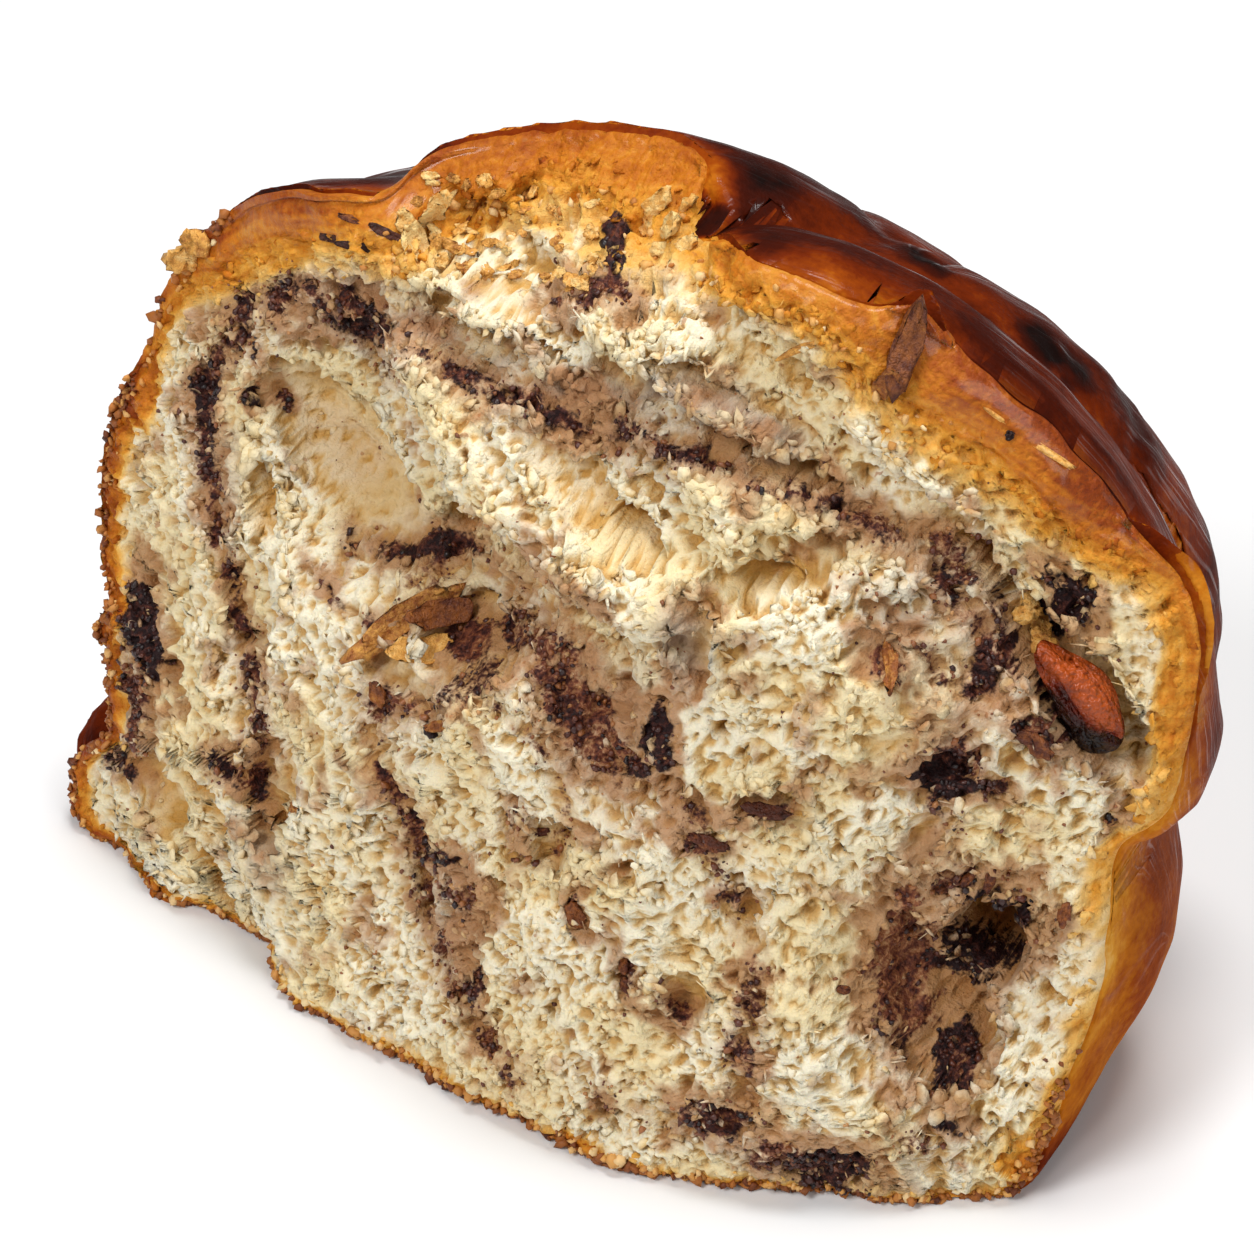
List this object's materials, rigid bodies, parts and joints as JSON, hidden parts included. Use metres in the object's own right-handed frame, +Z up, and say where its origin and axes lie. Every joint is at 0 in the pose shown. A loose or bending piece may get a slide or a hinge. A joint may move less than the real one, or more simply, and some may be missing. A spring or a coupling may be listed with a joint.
{
  "type": "brioche half",
  "caption": "Torn half of a glazed, braided brioche with a cocoa swirl, standing on its flat baked base.",
  "frame": {"origin": "on the table the bread stands on, under the middle of its bounding box", "axes": "+X along the torn side from its left to its right as one looks at it, +Y from the torn side into the bread, +Z up"},
  "size_m": [0.1194, 0.0756, 0.0861],
  "materials": {
    "bread": "baked crust, glossy where glazed, with open crumb on the torn side",
    "chocolate": "softened dark chocolate, glossy"
  },
  "bodies": {
    "root": {"brioche": "bread", "chocolate_piece": "chocolate"}
  },
  "joints": []
}
